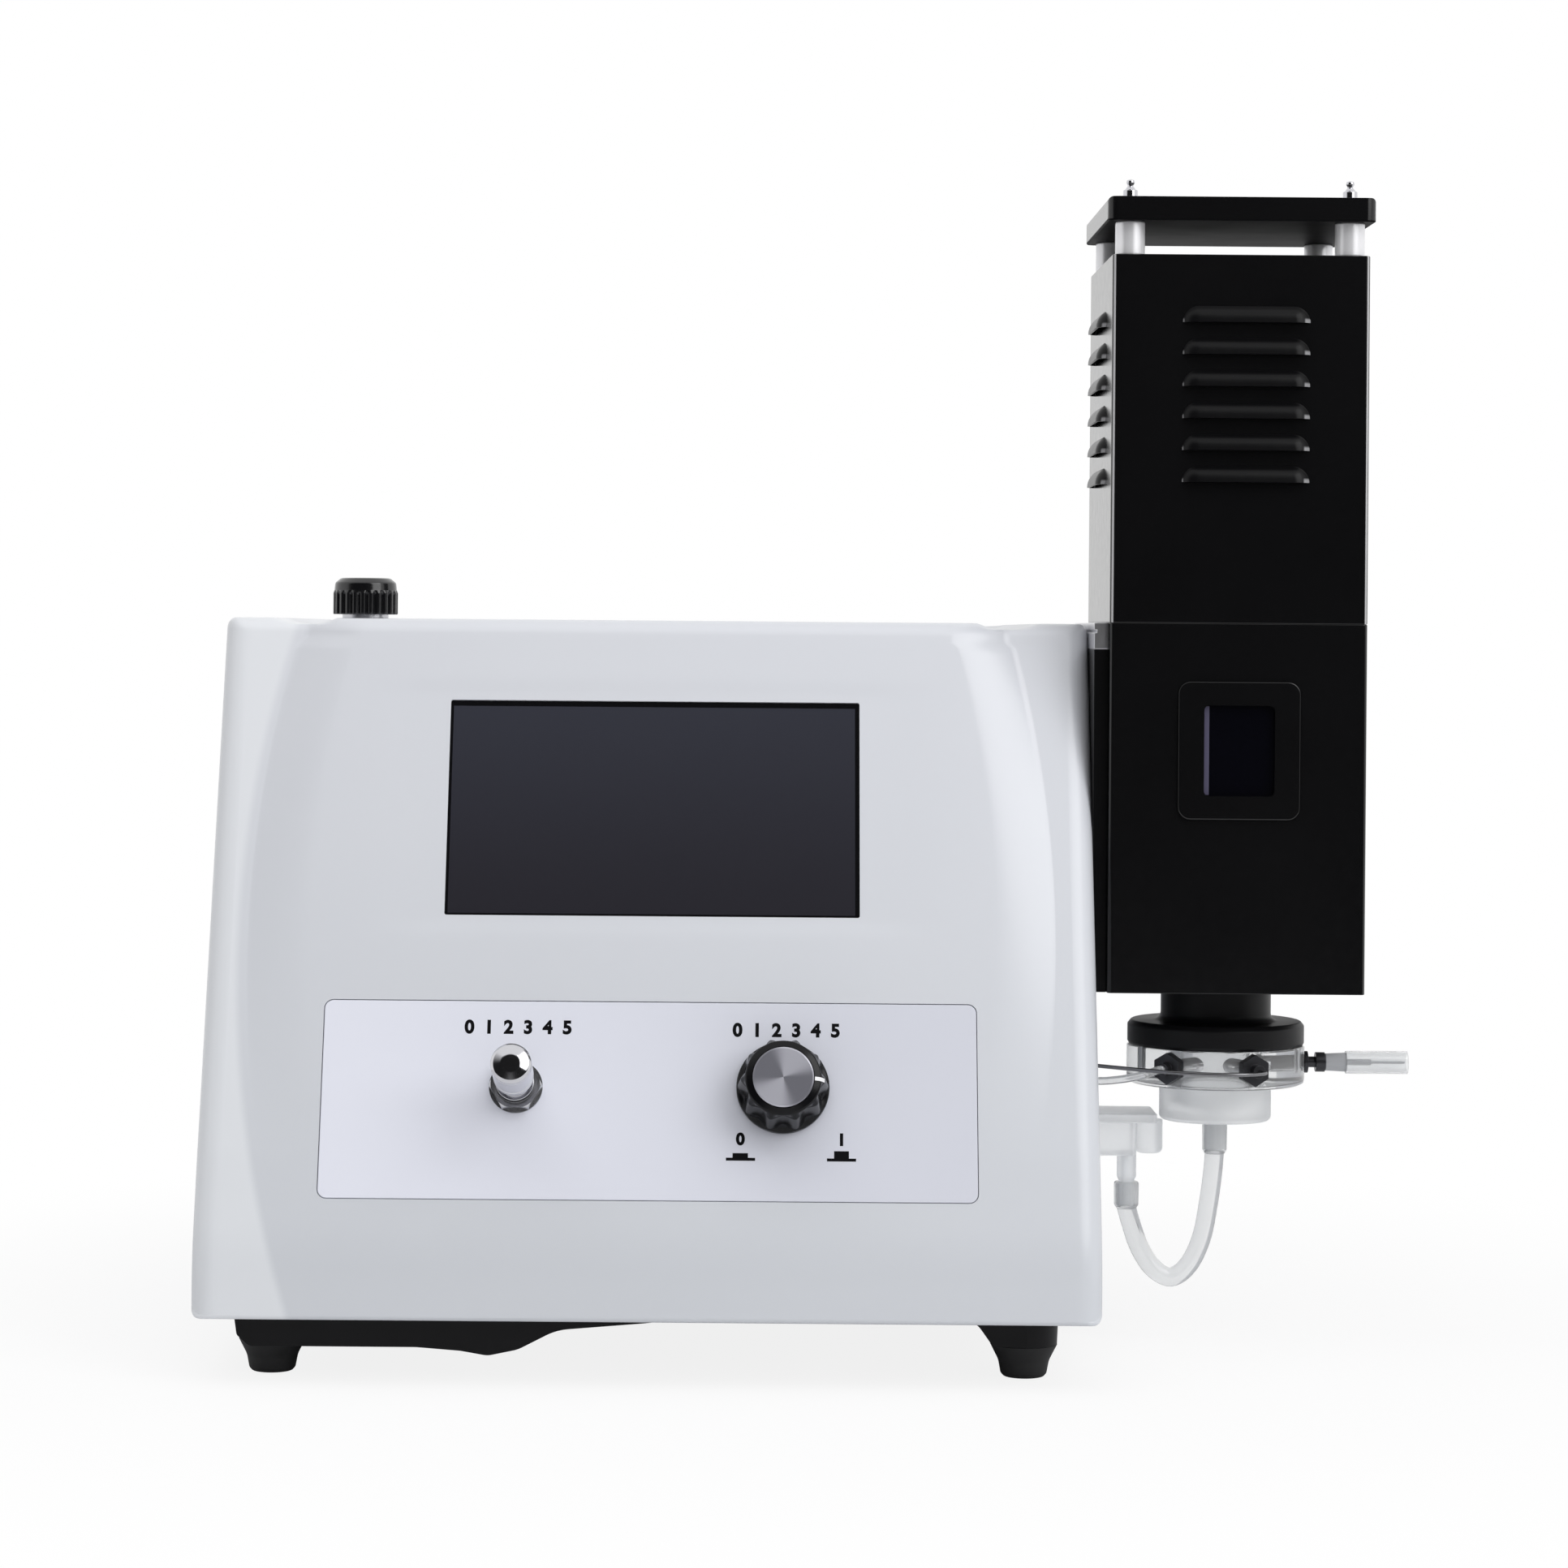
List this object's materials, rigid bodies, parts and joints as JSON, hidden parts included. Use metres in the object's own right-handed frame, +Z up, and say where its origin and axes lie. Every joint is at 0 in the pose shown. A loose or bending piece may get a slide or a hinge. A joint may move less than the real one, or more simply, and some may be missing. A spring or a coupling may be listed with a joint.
{
  "type": "flame photometer",
  "caption": "Bench flame photometer with a leaning touch screen, gas controls and a louvred burner tower on its side.",
  "frame": {"origin": "on the table, under the middle of the whole object's box without the drain hose", "axes": "+Z up, the leaning screen faces -Y, +X towards the burner tower"},
  "size_m": [0.4562, 0.3366, 0.4452],
  "materials": {
    "moulding_white": "glossy white moulding",
    "base_black": "satin black",
    "foot_rubber": "matt black rubber",
    "panel_metal": "plain sheet metal",
    "bright_steel": "bright steel",
    "plate_grey": "satin pale grey film",
    "screen_glass": "dark glass, unlit",
    "board_green": "green board",
    "socket_black": "black plastic",
    "brass": "turned brass",
    "knob_black": "glossy black",
    "chrome": "polished chrome",
    "spun_aluminium": "spun, bright",
    "sheet_black": "satin black powder coat",
    "optical_glass": "polished lens",
    "filter_glass": "coloured filter",
    "window_glass": "dark viewing glass",
    "chimney_glass": "clear heat-proof tube",
    "ceramic": "pale ceramic",
    "clear_acrylic": "clear plastic",
    "milky_plastic": "translucent white plastic",
    "clear_hose": "clear soft hose",
    "dark_metal": "dark machined metal"
  },
  "bodies": {
    "instrument": {"housing_shell": "moulding_white", "base_pan": "base_black", "rubber_feet": "foot_rubber", "rear_panel": "panel_metal", "rear_screws": "bright_steel", "control_plate": "plate_grey", "touch_glass": "screen_glass", "display_module": "panel_metal", "display_board": "board_green", "main_board": "board_green", "power_supply": "panel_metal", "mains_inlet": "socket_black", "switch_frame": "socket_black", "data_port": "panel_metal", "gas_inlet": "brass", "air_inlet": "bright_steel", "regulator_body": "panel_metal", "regulator_nut": "panel_metal", "fine_valve_body": "brass", "fine_panel_nut": "chrome", "gas_valve_body": "brass", "gas_valve_nut": "panel_metal", "tower_spacer": "sheet_black", "spacer_trim": "spun_aluminium", "optics_block": "sheet_black", "lens": "optical_glass", "optical_filters": "filter_glass", "detector_board": "board_green", "flame_box": "sheet_black", "window_frame": "sheet_black", "window_glass": "window_glass", "burner_mount": "base_black", "burner_head": "bright_steel", "glass_chimney": "chimney_glass", "igniter": "ceramic", "mixing_disc": "clear_acrylic", "disc_screws": "bright_steel", "drain_cup": "milky_plastic", "nebuliser": "dark_metal", "sample_sleeve": "clear_acrylic", "fittings": "dark_metal", "gas_tube": "clear_hose", "air_tube": "bright_steel", "drain_hose": "clear_hose", "waste_port": "milky_plastic"},
    "regulator_screw": {"regulator_stem": "bright_steel"},
    "regulator_cap": {"regulator_knob": "knob_black"},
    "fine_spindle_seat": {"fine_needle": "bright_steel"},
    "fine_handle": {"fine_stem": "bright_steel", "fine_knob": "chrome"},
    "gas_latch": {"gas_plunger": "brass"},
    "gas_handle": {"gas_spindle": "bright_steel", "gas_knob": "knob_black", "gas_knob_disc": "spun_aluminium"},
    "chimney": {"chimney_cover": "sheet_black", "top_cap": "sheet_black", "cap_posts": "chrome", "cap_nuts": "bright_steel"},
    "rocker": {"switch_rocker": "socket_black"}
  },
  "joints": [
    {"name": "pressure_screw", "type": "hinge", "parent": "instrument", "child": "regulator_screw", "pos_m": [-0.17815, -0.01973, 0.285], "axis": [0, 0, 1], "range_deg": [-720, 720]},
    {"name": "pressure_lock", "type": "slide", "parent": "regulator_screw", "child": "regulator_cap", "axis": [0, 0, 1], "range_m": [0, 0.0025]},
    {"name": "needle_travel", "type": "slide", "parent": "instrument", "child": "fine_spindle_seat", "axis": [0, -0.9438, 0.3305], "range_m": [0, 0.003]},
    {"name": "fine_turn", "type": "hinge", "parent": "fine_spindle_seat", "child": "fine_handle", "pos_m": [-0.1119, -0.14778, 0.11307], "axis": [0, -0.9438, 0.3305], "range_deg": [0, 1440]},
    {"name": "gas_push", "type": "slide", "parent": "instrument", "child": "gas_latch", "axis": [0, -0.9438, 0.3305], "range_m": [0, 0.004]},
    {"name": "gas_turn", "type": "hinge", "parent": "gas_latch", "child": "gas_handle", "pos_m": [-0.0144, -0.13834, 0.10977], "axis": [0, -0.9438, 0.3305], "range_deg": [-60, 240]},
    {"name": "chimney_lift", "type": "slide", "parent": "instrument", "child": "chimney", "axis": [0, 0, 1], "range_m": [0, 0.15]},
    {"name": "power_rocker", "type": "hinge", "parent": "instrument", "child": "rocker", "pos_m": [0.01285, 0.14927, 0.072], "axis": [1, 0, 0], "range_deg": [-8.3, 0]}
  ],
  "couplings": [
    {"joint": "fine_turn", "follows": "needle_travel", "rad_per_m": 8377.6}
  ]
}
